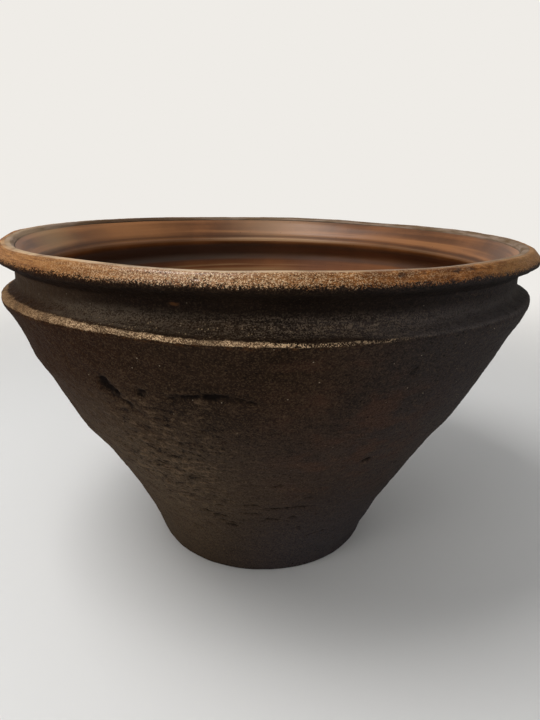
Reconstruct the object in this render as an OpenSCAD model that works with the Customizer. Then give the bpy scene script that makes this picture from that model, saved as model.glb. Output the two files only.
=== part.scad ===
// Earthenware basin: a deep bowl raised in rings of clay on a thrown floor dish,
// with a keeled shoulder, a grooved collar, a bevelled rim and a glazed inside.
// Millimetres, +Z up, origin at the centre of the face that it stands on.

/* [Floor] */
// Diameter of the face that it stands on
foot_d = 226; // [180:1:260]
// Worn rounding of the lower outside edge
foot_edge_r = 4; // [1:0.5:8]
// Thickness of the floor
floor_t = 18; // [10:0.5:26]
// Inside radius between the floor and the wall
floor_corner_r = 24; // [8:1:36]
// Height of the floor dish, up to its joint with the first ring
dish_h = 40; // [34:1:60]

/* [Wall] */
// Thickness of the wall, square to its surface
wall_t = 14; // [9:0.5:18]
// Height of the foot cone, from the ground to the waist
waist_h = 62; // [45:1:80]
// Diameter at the waist, where the wall starts to flare
waist_d = 272; // [262:1:300]
// Radius that blends the foot cone into the flare
waist_r = 350; // [100:10:400]
// Height of the flare, from the waist to the belly
belly_h = 131; // [100:1:160]
// Diameter at the belly, where the wall steepens again
belly_d = 432; // [400:1:450]
// Radius that blends the flare into the shoulder cone
belly_r = 590; // [100:10:650]
// Height of the shoulder cone, from the belly to the middle of the keel
shoulder_h = 78; // [60:1:100]

/* [Keel and collar] */
// Diameter over the keel of the shoulder
keel_d = 500; // [480:1:540]
// Height of the worn band on the keel
keel_band = 4; // [3:0.5:10]
// Rounding of the keel's two edges
keel_edge_r = 2.5; // [1:0.5:4]
// Depth of the shoulder ring below the middle of the keel
shoulder_drop = 39; // [25:1:60]
// Depth of the collar's groove, in from the keel
groove_depth = 11.5; // [8:0.5:20]
// Height from the middle of the keel to the middle of the groove
groove_rise = 18; // [17:0.5:24]
// Height of the upright floor of the groove
groove_band = 22; // [14:0.5:26]
// Rounding of the groove's two corners
groove_r = 10; // [3:0.5:12]
// Wall of the collar, from the groove to the crown of its inside
collar_t = 22; // [17:0.5:26]
// Height of the collar's inside crown above the middle of the groove
crown_lift = 0; // [-4:0.5:4]
// Rounding of the collar's inside crown
crown_r = 14; // [5:0.5:20]
// Rounding of the hollow behind the keel
hollow_r = 8; // [3:0.5:14]

/* [Rim] */
// Overhang of the rim's edge beyond the groove
rim_overhang = 14.5; // [8:0.5:22]
// Height from the middle of the groove to the middle of the rim's edge
rim_rise = 19.5; // [17:0.5:26]
// Height of the upright band on the rim's edge
rim_band = 3; // [2:0.5:6]
// Rounding of the rim's edge
rim_edge_r = 4; // [1:0.5:6]
// Width of the bevel, from the rim's edge in to the middle of the lip
bevel_w = 9.5; // [8:0.5:15]
// Height of the bevel, from the middle of the rim's edge to the top of the lip
bevel_h = 9.5; // [7:0.5:16]
// Width of the lip's flat top
lip_w = 9; // [4:0.5:11]
// Rounding of the lip's two edges
lip_edge_r = 4; // [1:0.5:5]

/* [Joints and glaze] */
// Height of the pinched tongue that keys each ring into the next
tongue_h = 4; // [2:0.5:6]
// Height of the collar ring, between its joints in the two corners of the groove
collar_h = 20; // [12:0.5:22]
// Thickness of the glaze
glaze_t = 0.8; // [0.4:0.1:1.5]
// Bare clay below the lip, down to the edge of the glaze
glaze_gap = 4; // [3:0.5:14]

/* [Hidden] */

clay_dark = "#37281f";
clay_brown = "#4a3324";
clay_worn = "#8a6340";
glaze_honey = "#6b4426";

round_fn = 180;  // facets of a full turn
arc_steps = 8;   // chords in each rounded corner
arc_share = 0.5; // most of a leg that one rounded corner may take
wall_rings = 4;  // rings between the floor dish and the shoulder
past = 1;        // reach past an end of the outline that no joint cuts

// Heights above the ground
belly_z = waist_h + belly_h;
keel_z = belly_z + shoulder_h;
groove_z = keel_z + groove_rise;
rim_z = groove_z + rim_rise;
basin_h = rim_z + bevel_h;
glaze_z = basin_h - glaze_gap;

// Heights of the luted joints
shoulder_z = keel_z - shoulder_drop;
wall_ring_h = (shoulder_z - dish_h) / wall_rings;
collar_z = groove_z - collar_h / 2;
rim_joint_z = groove_z + collar_h / 2;

// Radii that follow from the keel
groove_radius = keel_d / 2 - groove_depth;
rim_radius = groove_radius + rim_overhang;
lip_radius = rim_radius - bevel_w;

// Corners of the outline, each [radius, height, rounding]
foot = [foot_d / 2, 0, foot_edge_r];
waist = [waist_d / 2, waist_h, waist_r];
belly = [belly_d / 2, belly_z, belly_r];
keel = [keel_d / 2, keel_z, keel_edge_r];
groove = [groove_radius, groove_z, groove_r];
rim_edge = [rim_radius, rim_z, rim_edge_r];
lip = [lip_radius, basin_h, lip_edge_r];

function flat(corner) = [corner[0], corner[1]];
function unit(v) = v / norm(v);
function raised(corner, dz) = [corner[0], corner[1] + dz, corner[2]];
function widened(corner, dr) = [corner[0] + dr, corner[1], corner[2]];
function reversed(list) = [for (i = [len(list) - 1:-1:0]) list[i]];

// Unit vector square to the leg from a to b, on its left
function left_of(a, b) = let (u = unit(flat(b) - flat(a))) [-u.y, u.x];

// Corner b of the legs a-b and b-c, moved t to the left of both, with a new rounding
function inset(a, b, c, t, rounding) =
    let (
        n = left_of(a, b),
        m = left_of(b, c),
        p = flat(b) + (n + m) * t / (1 + n * m)
    )
    [p.x, p.y, rounding];

// Rounding of a corner after its outline moves t to the left
function moved_rounding(a, b, c, t) =
    b[2] + (cross(flat(b) - flat(a), flat(c) - flat(b)) > 0 ? -t : t);

// Points of the arc that rounds corner b between the legs from a and to c
function corner_arc(a, b, c) =
    let (
        back = unit(flat(a) - flat(b)),
        ahead = unit(flat(c) - flat(b)),
        half = acos(back * ahead) / 2,
        room = arc_share * min(norm(flat(a) - flat(b)), norm(flat(c) - flat(b))),
        run = min(b[2] / tan(half), room),
        radius = run * tan(half),
        centre = flat(b) + unit(back + ahead) * radius / sin(half),
        first = flat(b) + back * run - centre,
        last = flat(b) + ahead * run - centre,
        start = atan2(first.y, first.x),
        turn = atan2(cross(first, last), first * last)
    )
    [for (i = [0:arc_steps])
        let (angle = start + turn * i / arc_steps)
        centre + radius * [cos(angle), sin(angle)]];

// Open outline through a list of corners, with all but the two ends rounded
function rounded(corners) = concat(
    [flat(corners[0])],
    [for (i = [1:len(corners) - 2]) each corner_arc(corners[i - 1], corners[i], corners[i + 1])],
    [flat(corners[len(corners) - 1])]
);

// Corners of the inside, as the clay has it, from the axis up to the lip
foot_in = flat(foot) + left_of(foot, waist) * wall_t;
foot_up = unit(flat(waist) - flat(foot));
floor_corner = [
    foot_in.x + foot_up.x * (floor_t - foot_in.y) / foot_up.y,
    floor_t,
    floor_corner_r
];
inside_corners = [
    [0, floor_t, 0],
    floor_corner,
    inset(foot, waist, belly, wall_t, waist_r + wall_t),
    inset(waist, belly, keel, wall_t, belly_r - wall_t),
    inset(belly, keel, groove, wall_t, hollow_r),
    [groove_radius - collar_t, groove_z + crown_lift, crown_r],
    widened(lip, -lip_w / 2),
    flat(lip)
];

// Corners of the glazed surface, a glaze thickness inside the clay
glaze_last = len(inside_corners) - 2;
glaze_corners = [
    [0, floor_t + glaze_t, 0],
    for (i = [1:glaze_last - 1])
        let (a = inside_corners[i - 1], b = inside_corners[i], c = inside_corners[i + 1])
        inset(a, b, c, glaze_t, moved_rounding(a, b, c, glaze_t)),
    flat(inside_corners[glaze_last]) + glaze_t
        * left_of(inside_corners[glaze_last - 1], inside_corners[glaze_last])
];

outside = rounded([
    [0, 0, 0],
    foot,
    waist,
    belly,
    raised(keel, -keel_band / 2),
    raised(keel, keel_band / 2),
    raised(groove, -groove_band / 2),
    raised(groove, groove_band / 2),
    raised(rim_edge, -rim_band / 2),
    raised(rim_edge, rim_band / 2),
    widened(lip, lip_w / 2),
    flat(lip)
]);
inside_to_lip = rounded(inside_corners);
inside = [for (i = [0:len(inside_to_lip) - 2]) inside_to_lip[i]];
glazed = rounded(glaze_corners);

// Radius of an outline at a height
function radius_at(outline, z) = lookup(z, [for (p = outline) [p.y, p.x]]);

// Points of an outline between two heights
function stretch(outline, low, high) = [for (p = outline) if (p.y > low && p.y < high) p];

// Luted joint across the wall: outside edge, tip of the tongue, inside edge
function joint(z) = [
    [radius_at(outside, z), z],
    [(radius_at(outside, z + tongue_h) + radius_at(inside, z + tongue_h)) / 2, z + tongue_h],
    [radius_at(inside, z), z]
];

// Cross-section of the clay between two joints
function ring_section(low, high) = concat(
    [joint(low)[0]],
    stretch(outside, low, high),
    joint(high),
    reversed(stretch(inside, low, high)),
    [joint(low)[2], joint(low)[1]]
);

module turned(section) {
    rotate_extrude($fn = round_fn) polygon(section);
}

module floor_dish() {
    color(clay_brown) turned(concat(
        stretch(outside, -past, dish_h),
        joint(dish_h),
        reversed(stretch(inside, -past, dish_h))
    ));
}

// Ring of the wall, counted upwards from the floor dish
module wall_ring(number) {
    low = dish_h + number * wall_ring_h;
    color(clay_dark) turned(ring_section(low, low + wall_ring_h));
}

module shoulder() {
    color(clay_dark) turned(ring_section(shoulder_z, collar_z));
}

module collar() {
    color(clay_dark) turned(ring_section(collar_z, rim_joint_z));
}

module rim() {
    color(clay_worn) turned(concat(
        [joint(rim_joint_z)[0]],
        stretch(outside, rim_joint_z, basin_h + past),
        reversed(stretch(inside, rim_joint_z, basin_h + past)),
        [joint(rim_joint_z)[2], joint(rim_joint_z)[1]]
    ));
}

module glaze_lining() {
    color(glaze_honey) turned(concat(
        stretch(inside, -past, glaze_z),
        [[radius_at(inside, glaze_z), glaze_z], [radius_at(glazed, glaze_z), glaze_z]],
        reversed(stretch(glazed, -past, glaze_z))
    ));
}

floor_dish();
wall_ring(0);  // foot_wall
wall_ring(1);  // lower_wall
wall_ring(2);  // middle_wall
wall_ring(3);  // upper_wall
shoulder();
collar();
rim();
glaze_lining();
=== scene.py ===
import math

import bpy
import numpy as np
from mathutils import Matrix, Vector, noise


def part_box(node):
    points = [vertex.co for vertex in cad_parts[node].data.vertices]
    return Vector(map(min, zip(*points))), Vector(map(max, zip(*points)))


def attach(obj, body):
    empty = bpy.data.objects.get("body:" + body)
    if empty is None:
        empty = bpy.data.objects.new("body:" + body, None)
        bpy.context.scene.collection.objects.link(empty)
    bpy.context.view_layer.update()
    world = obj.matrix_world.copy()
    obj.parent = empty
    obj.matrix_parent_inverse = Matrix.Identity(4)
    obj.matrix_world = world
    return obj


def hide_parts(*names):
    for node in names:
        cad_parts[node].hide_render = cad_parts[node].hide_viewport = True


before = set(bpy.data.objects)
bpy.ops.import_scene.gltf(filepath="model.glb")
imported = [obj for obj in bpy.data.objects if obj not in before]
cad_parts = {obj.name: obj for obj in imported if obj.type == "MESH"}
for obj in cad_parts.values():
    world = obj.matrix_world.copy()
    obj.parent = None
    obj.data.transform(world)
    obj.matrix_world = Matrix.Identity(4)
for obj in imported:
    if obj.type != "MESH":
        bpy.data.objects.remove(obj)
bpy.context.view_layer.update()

# Floor dish
# The potter starts with a thick disc of coarse dark clay and turns its edge up for the wall to stand on.
# The whole basin follows one outline from the foot to the lip, and fires to one hard body.
MM = 0.001
MOST_FACETS = 1400  # in a full turn
MOST_FACES = 98_000  # in a piece
SEEN_STEP = 0.95  # mm between the points of an outline that shows
HIDDEN_STEP = 4.0  # and of one that doesn't
JOINT_GAP = SEEN_STEP / 3  # closest that a point comes to a joint
ARC_POINTS = 12  # in a rounded corner
WELD = 0.01  # mm between points that are one

# Corners of the outline in mm, each (radius, height, rounding), from the axis up to the lip
OUTSIDE = [
    (0, 0, 0),  # middle of the foot
    (113, 0, 4),  # edge of the foot
    (136, 62, 350),  # waist
    (216, 193, 590),  # belly
    (250, 269, 2.5),  # lower edge of the keel
    (250, 273, 2.5),  # upper edge of the keel
    (238.5, 278, 8),  # foot of the collar
    (238.5, 298.5, 12),  # top of the collar
    (253, 307, 4),  # lower edge of the rim
    (253, 310, 4),  # upper edge of the rim
    (248, 318, 4),  # outer edge of the lip
    (243.5, 318, 0),  # top of the lip
]
INSIDE = [
    (0, 18, 0),  # middle of the floor
    (105, 18, 24),  # corner of the floor
    (123, 68, 364),  # waist
    (203.5, 199.5, 576),  # belly
    (234.3, 270, 8),  # hollow behind the keel
    (216.5, 289, 14),  # crown of the collar
    (239, 318, 4),  # inner edge of the lip
    (243.5, 318, 0),  # top of the lip
]
TONGUE = 4  # height in mm of the tongue that keys a ring into the next
LAND = 1.5  # mm of flat joint at each face of the wall
LEAN = 0.0118  # mm to the right for each mm of height


def rounded(corners, step):
    """Points a step apart along an outline whose corners are rounded."""
    path = [Vector(corners[0][:2])]
    for before, (radius, height, rounding), after in zip(corners, corners[1:], corners[2:]):
        corner = Vector((radius, height))
        back = Vector(before[:2]) - corner
        ahead = Vector(after[:2]) - corner
        run = min(rounding / math.tan(back.angle(ahead) / 2), back.length / 2, ahead.length / 2)
        start = corner + run * back.normalized()
        end = corner + run * ahead.normalized()
        shares = np.linspace(0, 1, ARC_POINTS)
        path += [start.lerp(corner, t).lerp(corner.lerp(end, t), t) for t in shares]
    path = np.array(path + [Vector(corners[-1][:2])])
    along = np.append(0, np.cumsum(np.linalg.norm(np.diff(path, axis=0), axis=1)))
    stops = np.linspace(0, along[-1], round(along[-1] / step) + 1)
    return np.column_stack([np.interp(stops, along, column) for column in path.T])


def radius_at(outline, height):
    return np.interp(height, outline[:, 1], outline[:, 0])


def below(outline, height, gap=JOINT_GAP):
    """Stretch of an outline up to a height, with a point at it."""
    return np.vstack([outline[outline[:, 1] < height - gap], [[radius_at(outline, height), height]]])


outside = rounded(OUTSIDE, SEEN_STEP)
inside = rounded(INSIDE, HIDDEN_STEP)


def tongue(height):
    """Joint inside the wall, from the outside in: a flat land, the tongue of the ring below, a flat land."""
    tip = height + TONGUE
    middle = (radius_at(outside, tip) + radius_at(inside, tip)) / 2
    return np.array([
        [radius_at(outside, height) - LAND, height],
        [middle, tip],
        [radius_at(inside, height) + LAND, height],
    ])


def joint_under(node):
    """Height in mm of the joint that a ring stands on."""
    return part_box(node)[0][2] / MM


def turn(name, section, closed=True, most_facets=MOST_FACETS):
    """Spin a cross-section of (radius, height) points in mm into a round piece."""
    bpy.ops.object.select_all(action="DESELECT")
    bpy.ops.mesh.primitive_circle_add(vertices=len(section))
    piece = bpy.context.object
    piece.name = piece.data.name = name
    for corner, (radius, height) in zip(piece.data.vertices, section):
        corner.co = (radius * MM, 0, height * MM)
    if not closed:
        ends = {0, len(section) - 1}
        for edge in piece.data.edges:
            edge.select = set(edge.vertices) == ends
        for corner in piece.data.vertices:
            corner.select = corner.index in ends
        bpy.ops.object.mode_set(mode="EDIT")
        bpy.ops.mesh.delete(type="EDGE_FACE")
        bpy.ops.object.mode_set(mode="OBJECT")
    wheel = piece.modifiers.new("wheel", "SCREW")
    wheel.steps = wheel.render_steps = min(most_facets, MOST_FACES // len(section))
    bpy.ops.object.modifier_apply(modifier="wheel")
    bpy.ops.object.mode_set(mode="EDIT")
    bpy.ops.mesh.select_all(action="SELECT")
    bpy.ops.mesh.remove_doubles(threshold=WELD * MM)
    bpy.ops.mesh.normals_make_consistent(inside=False)
    bpy.ops.object.mode_set(mode="OBJECT")
    return piece


def points_of(piece):
    """Points of a piece in mm, with the radius, height and azimuth (0 at the front, + to the right)."""
    points = np.empty(len(piece.data.vertices) * 3)
    piece.data.vertices.foreach_get("co", points)
    points = points.reshape(-1, 3) / MM
    azimuth = np.degrees(np.arctan2(points[:, 0], -points[:, 1]))
    return points, np.hypot(points[:, 0], points[:, 1]), points[:, 2].copy(), azimuth


def smooth(value, low, high):
    """0 below low, 1 above high, and smooth between."""
    share = np.clip((value - low) / (high - low), 0, 1)
    return share * share * (3 - 2 * share)


def lumps(points, size):
    """Noise between about -1 and 1 with lumps of a size in mm, or of a size along each axis."""
    return np.array([noise.noise(place) for place in (points / size).tolist()])


def layered(points, layers):
    """Sum of some lumps, each (height, size) in mm."""
    return sum(amount * lumps(points, size) for amount, size in layers)


def square_to(outline, height):
    """Directions (radius, height) square to an outline, at some heights, to the right of its way up."""
    along = np.gradient(outline, axis=0)
    along /= np.linalg.norm(along, axis=1)[:, None]
    out = np.interp(height, outline[:, 1], along[:, 1])
    up = np.interp(height, outline[:, 1], along[:, 0])
    return np.column_stack([out, -up])


# Where the wall swells or sinks: azimuth, height, half-width, half-height and swell in mm
SWELLS = [
    (-53, 222, 60, 11, 1.9), (-53, 158, 70, 20, 2.6), (-50, 100, 60, 30, -1.2),
    (56, 262, 70, 15, 1.8), (-58, 268, 60, 9, 1.4), (53, 166, 50, 13, 1.2),
    (53, 82, 60, 34, 2.4), (30, 4, 50, 24, 0.8),
    (64, 310, 60, 6, 1.3), (52, 36, 45, 12, 0.8), (52, 12, 45, 11, -2.6),
]
BROAD_SWELL = [(1.3, 140), (0.6, 50)]  # lumps, each (height, size) in mm

# How far the keel and the rim stand above their turned height, in mm, at some azimuths
KEEL_WAVE = {-150: 1.0, -60: 2.0, -38: 2.4, -23: 2.4, -12: 0.6, 0: 0.0, 20: 0.5, 60: 2.4, 150: 1.0}
RIM_WAVE = {
    -180: 2.6, -150: 3.2, -115: 4.2, -85: 2.0, -55: -1.2, -30: -1.6, 0: -1.9,
    25: -2.2, 50: -1.9, 85: -2.4, 110: -2.6, 145: 0.6,
}
FULL_TURN = 360
HALF_TURN = 180
WAVE_BLUR = 8  # degrees
WAVE_REACH = 20  # degrees to either side that the blur takes in

# Heights in mm over which the warp comes in
FLAT_FOOT = (0, 16)
UNDER_KEEL = (215, 270)
UNDER_RIM = (272, 298)
STILL_RADIUS = 1  # mm about the axis that the swell doesn't widen
SOFT_EDGE = math.radians(60)


def wave(azimuth, heights):
    """Heights between the ones that a table gives at some azimuths, without kinks."""
    turns = np.arange(-HALF_TURN, HALF_TURN)
    line = np.interp(turns, list(heights), list(heights.values()), period=FULL_TURN)
    blur = np.exp(-(np.arange(-WAVE_REACH, WAVE_REACH + 1) / WAVE_BLUR) ** 2)
    line = np.convolve(np.tile(line, 3), blur / blur.sum(), "same")[FULL_TURN:2 * FULL_TURN]
    return np.interp(azimuth, turns, line, period=FULL_TURN)


def turned_from(azimuth, middle):
    """Degrees from a middle azimuth, the shorter way round."""
    return (azimuth - middle + HALF_TURN) % FULL_TURN - HALF_TURN


def hump(across, wide, up, tall):
    """1 in the middle of a round hump, falling away over its half-width and half-height."""
    return np.exp(-(across / wide) ** 2 - (up / tall) ** 2)


def settle(piece, relief=0):
    """Warp a piece as drying did, with a relief of its own in mm, square to the wall.

    The foot stays flat. The keel and the rim wave, and the basin leans a little to the right.
    """
    points, radius, height, azimuth = points_of(piece)
    swell = layered(points, BROAD_SWELL) + relief
    for turned, level, wide, tall, amount in SWELLS:
        around = np.radians(turned_from(azimuth, turned)) * radius
        swell += amount * hump(around, wide, height - level, tall)
    way = square_to(outside, height) * swell[:, None]
    points[:, :2] *= (1 + way[:, 0] / np.maximum(radius, STILL_RADIUS))[:, None]
    points[:, 2] += way[:, 1] * smooth(height, *FLAT_FOOT)
    at_rim = smooth(height, *UNDER_RIM)
    points[:, 2] += at_rim * wave(azimuth, RIM_WAVE)
    points[:, 2] += (smooth(height, *UNDER_KEEL) - at_rim) * wave(azimuth, KEEL_WAVE)
    points[:, 0] += LEAN * height
    piece.data.vertices.foreach_set("co", (points * MM).ravel())
    piece.data.update()
    bpy.ops.object.shade_smooth_by_angle(angle=SOFT_EDGE)


RAGGED = [(1.6, 7), (1.2, 2.4)]  # lumps that fray a mark's edge
WALL_SLOPE = 1.15  # mm along the wall for each mm of height
BLUNT_ENDS = 4  # power by which a mark ends, 2 for its sides
FADED = 40  # power at which a mark is no longer there
UNEVEN = (0.9, 4)  # lumps in a mark's depth
SHALLOWEST, DEEPEST = 0.3, 1.5  # of the depth that the mark states


def pressed_in(marks, points, radius, height, azimuth):
    """Depth in mm of ragged marks pressed into the outside.

    Each mark is (azimuth, height, length, width, depth, slant), in degrees and mm.
    """
    pressed = np.zeros(len(radius))
    ragged = layered(points, RAGGED)
    for turned, level, length, width, depth, slant in marks:
        close = np.nonzero(abs(height - level) < length + width)[0]
        across = np.radians(turned_from(azimuth[close], turned)) * radius[close]
        up = (height[close] - level) * WALL_SLOPE + ragged[close]
        tilt = math.radians(slant)
        run = (across * math.cos(tilt) + up * math.sin(tilt)) / (length / 2)
        side = (up * math.cos(tilt) - across * math.sin(tilt)) / (width / 2)
        dent = depth * np.exp(-np.clip(run ** BLUNT_ENDS + side ** 2, 0, FADED))
        pressed[close] = np.maximum(pressed[close], dent)
    return pressed * np.clip(1 + layered(points, [UNEVEN]), SHALLOWEST, DEEPEST)


def keep_on_points(piece, name, values):
    """Keep a number for each point of a piece, for its finish to read."""
    layer = piece.data.attributes.new(name, "FLOAT", "POINT")
    layer.data.foreach_set("value", np.asarray(values, dtype=float))


# Where the rib dragged the stiff clay: azimuth, height, half-width in degrees, half-height and relief in mm
DRAGS = [
    (-21, 160, 15, 60, 0.5), (-29, 130, 12, 40, 0.25), (-18, 212, 12, 20, 0.2),
    (-115, 120, 18, 45, 0.45), (150, 185, 22, 40, 0.5), (80, 110, 14, 40, 0.4),
]
EVEN_DRAG = 0.14  # relief of the ripples everywhere else
RIPPLES = [(0.6, (11, 11, 3.4)), (0.6, (4.2, 4.2, 2.2)), (0.5, 2)]
SKIN = [(0.5, 20), (0.38, 8), (0.22, 2.8)]
HANDLED = (308, 316)  # heights in mm over which hands have worn the skin down
HANDLED_SHARE = 0.6


def weather(piece, marks=()):
    """Give a clay piece the rib's ripples, the sand and the marks of its outside, then warp it.

    The finish reads the depth of the marks as "hollow", the drag marks' height as "ripples", and the
    height before the warp as "turned_height".
    """
    points, radius, height, azimuth = points_of(piece)
    outer = radius > (radius_at(outside, height) + radius_at(inside, height)) / 2
    dragged = EVEN_DRAG
    for turned, level, wide, tall, amount in DRAGS:
        dragged = dragged + amount * hump(turned_from(azimuth, turned), wide, height - level, tall)
    ripples = dragged * layered(points, RIPPLES)
    skin = layered(points, SKIN) + ripples
    skin *= 1 - HANDLED_SHARE * smooth(height, *HANDLED)
    pressed = outer * pressed_in(marks, points, radius, height, azimuth)
    keep_on_points(piece, "hollow", pressed)
    keep_on_points(piece, "ripples", ripples)
    keep_on_points(piece, "turned_height", height)
    settle(piece, outer * skin - pressed)


class Shade:
    """A socket of a material's nodes, so that shader maths reads as sums."""

    def __init__(self, socket):
        self.socket = socket

    def add(self, kind, settings, sockets, out=0):
        """Add a node with its settings, then its sockets' values or links, and give one output."""
        tree = self.socket.id_data
        node = tree.nodes.new("ShaderNode" + kind)
        for name, value in settings.items():
            setattr(node, name, value)
        for name, value in sockets.items():
            if isinstance(value, Shade):
                tree.links.new(value.socket, node.inputs[name])
            else:
                node.inputs[name].default_value = value
        return Shade(node.outputs[out])

    def maths(self, operation, first, second):
        return self.add("Math", {"operation": operation}, {0: first, 1: second})

    def __add__(self, other):
        return self.maths("ADD", self, other)

    def __sub__(self, other):
        return self.maths("SUBTRACT", self, other)

    def __rsub__(self, other):
        return self.maths("SUBTRACT", other, self)

    def __mul__(self, other):
        return self.maths("MULTIPLY", self, other)

    __radd__ = __add__
    __rmul__ = __mul__


def paint(code):
    """Colour of a six-digit code, as light, by the sRGB curve."""
    parts = [int(code[i:i + 2], 16) / 255 for i in (0, 2, 4)]
    return tuple(c / 12.92 if c < 0.04045 else ((c + 0.055) / 1.055) ** 2.4 for c in parts) + (1,)


def rise(value, low, high):
    """0 below low, 1 above high, and smooth between."""
    sockets = {"Value": value, "From Min": low, "From Max": high}
    return value.add("MapRange", {"interpolation_type": "SMOOTHSTEP"}, sockets)


def fall(value, low, high):
    """1 below low, 0 above high, and smooth between."""
    return 1 - rise(value, low, high)


def at_least(least, value):
    """A value from 0 to 1, drawn up to run from a least value to 1."""
    return least + (1 - least) * value


def blended(share, first, second):
    """A share of the first value, and the rest of the second."""
    return share * first + (1 - share) * second


def mixed(share, first, second):
    """The first colour, with a share of the second laid over it."""
    return share.add("Mix", {"data_type": "RGBA"}, {0: share, 6: first, 7: second}, out=2)


def coated(colour, coat, where):
    """A colour under a coat, which is (its own colour, the most of it that shows), where the coat lies."""
    tint, most = coat
    return mixed(most * where, colour, tint)


def cloud(place, size, detail=3.0, rough=0.55):
    """Noise from 0 to 1 with patches of a size in mm, or of a size along each axis."""
    sizes = size if isinstance(size, tuple) else (size,) * 3
    scaled = place.add("VectorMath", {"operation": "DIVIDE"}, {0: place, 1: sizes})
    return place.add("TexNoise", {}, {"Vector": scaled, "Scale": 1.0, "Detail": detail, "Roughness": rough})


def cell_shade(place, size):
    """A random shade from 0 to 1 for each cell of a size in mm."""
    draw = place.add("TexVoronoi", {"feature": "F1"}, {"Vector": place, "Scale": 1 / size}, out="Color")
    return draw.add("SeparateColor", {}, {"Color": draw}, out="Red")


SHARP = 0.01  # softness of the choice between a grain and none


def grains(place, cell, share, size):
    """Round grains, one to a cell of a size in mm, in about a share of the cells: 1 at their middles."""
    away = place.add("TexVoronoi", {"feature": "F1"}, {"Vector": place, "Scale": 1 / cell}, out="Distance")
    drawn = rise(cell_shade(place, cell), 1 - share, 1 - share + SHARP)
    return fall(away, size / cell / 2, size / cell) * drawn


def near(place, azimuth, height, reach):
    """1 at a spot on the outside, fading to 0 at a reach in mm from it."""
    turned = math.radians(azimuth)
    radius = radius_at(outside, height)
    spot = (radius * math.sin(turned) + LEAN * height, -radius * math.cos(turned), height)
    away = place.add("VectorMath", {"operation": "DISTANCE"}, {0: place, 1: spot}, out="Value")
    return fall(away, 0, reach)


def axis(place, name):
    """Place in mm along an axis: X to the right, Y to the back, Z up."""
    return place.add("SeparateXYZ", {}, {"Vector": place}, out=name)


def kept(place, name):
    """Number that was kept on the points of a piece."""
    return place.add("Attribute", {"attribute_name": name}, {}, out="Fac")


def new_finish(name):
    """A new material, and the place on the basin in mm, in its nodes."""
    material = bpy.data.materials.new(name)
    material.use_nodes = True
    source = Shade(material.node_tree.nodes.new("ShaderNodeTexCoord").outputs["Object"])
    return material, source.add("VectorMath", {"operation": "DIVIDE"}, {0: source, 1: (MM,) * 3})


POLISH_ROUGHNESS = 0.35


def apply_finish(piece, material, colour, roughness, relief, depth, specular, polish=None):
    """Wire a finish to its shader and put it on a piece. Depth is the relief's height in mm."""
    tree = material.node_tree
    shader = tree.nodes["Principled BSDF"]
    bump = relief.add("Bump", {}, {"Height": relief, "Strength": 1.0, "Distance": depth * MM})
    tree.links.new(colour.socket, shader.inputs["Base Color"])
    tree.links.new(roughness.socket, shader.inputs["Roughness"])
    tree.links.new(bump.socket, shader.inputs["Normal"])
    shader.inputs["Specular IOR Level"].default_value = specular
    if polish:
        tree.links.new(polish.socket, shader.inputs["Coat Weight"])
        shader.inputs["Coat Roughness"].default_value = POLISH_ROUGHNESS
    piece.data.materials.clear()
    piece.data.materials.append(material)


CLAY_DARK = paint("21170f")
CLAY_BROWN = paint("33251a")
CLAY_ASH = paint("4f4234")
CLAY_SAND = paint("67533f")
SOOT = paint("0c0908")
CLAY_SHINE = 0.03
CLAY_RELIEF = 0.6  # mm

# Noise in the clay, each (size in mm or along each axis, detail, roughness)
PATCHES = (75, 5.0, 0.6)
STREAKS = ((50, 50, 3.5), 4.0, 0.6)
SPECKLE = (1.4, 2.0)
SMOKE = (130, 3.0)
DUST_PATCHES = ((18, 18, 8), 4.0, 0.65)
FLUSHES = ((48, 48, 24), 4.0, 0.65)
CRUMBLE = (3.5, 3.0)
RIBBING = ((9, 9, 2.6), 3.0)

# Grains of sand in mm, and holes and quartz, each (cell in mm, share of the cells, size in mm)
SAND, SAND_SHARE = 0.9, 0.6
HOLES = (6.5, 0.35, 1.1)
QUARTZ = (5, 0.14, 0.6)

# Coats over the clay, among them painted light and painted shade, each (colour, most of it that shows)
WARM = (paint("2b1709"), 0.95)
GREY = (paint("363334"), 0.8)
PAINTED_BLUE_BOUNCE = (paint("3a3b43"), 0.85)
DULL = (paint("4c4340"), 0.28)
RUST = (paint("4f3427"), 0.4)
SMOKED = (SOOT, 0.6)
RIPPLE_PAINTED_LIGHT = (CLAY_SAND, 0.5)
RIPPLE_PAINTED_SHADE = (SOOT, 0.75)
PALE_SAND = (CLAY_SAND, 0.3)
DARK_SAND = (SOOT, 0.5)
SOOTED_HOLES = (SOOT, 0.7)
QUARTZ_PALE = (paint("b7a58c"), 0.6)
MARK_PAINTED_SHADE = (SOOT, 0.88)

# Where the coats come in or fade, in mm across (+ to the right), to the back and up
WARM_SIDE = (-170, -30)
GREY_SIDE = (10, 170)
BLUE_BOUNCE_SIDE = (-70, 80)
DULL_SIDE, DULL_TOP = (-90, 30), (150, 250)
RUST_LEFT, RUST_RIGHT = (-20, 60), (80, 160)
RUST_FOOT, RUST_TOP = (70, 150), (250, 275)
LOW_WALL = (10, 130)
BACK = (-30, 110)
DUSTY_SPOT = (-32, 130, 150)  # azimuth, height and reach
PAINTED_BOUNCE_SIDE = (-90, 20)
QUARTZ_FOOT = (180, 225)

# Steps of the noise, sand, ripples and marks between none and all of a coat
FIRED = (0.4, 0.8)
DUST_STEP = (0.15, 0.6)
RUST_STEP = (0.46, 0.62)
ASHY_STEP, SMOKED_STEP = (0.5, 0.66), (0.34, 0.48)
TOPS_STEP, DIPS_STEP = (0.03, 0.3), (-0.32, -0.05)
PALE_STEP, DARK_STEP = (0.55, 0.85), (0.2, 0.45)
MARK_STEP = (0.2, 2.1)

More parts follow.
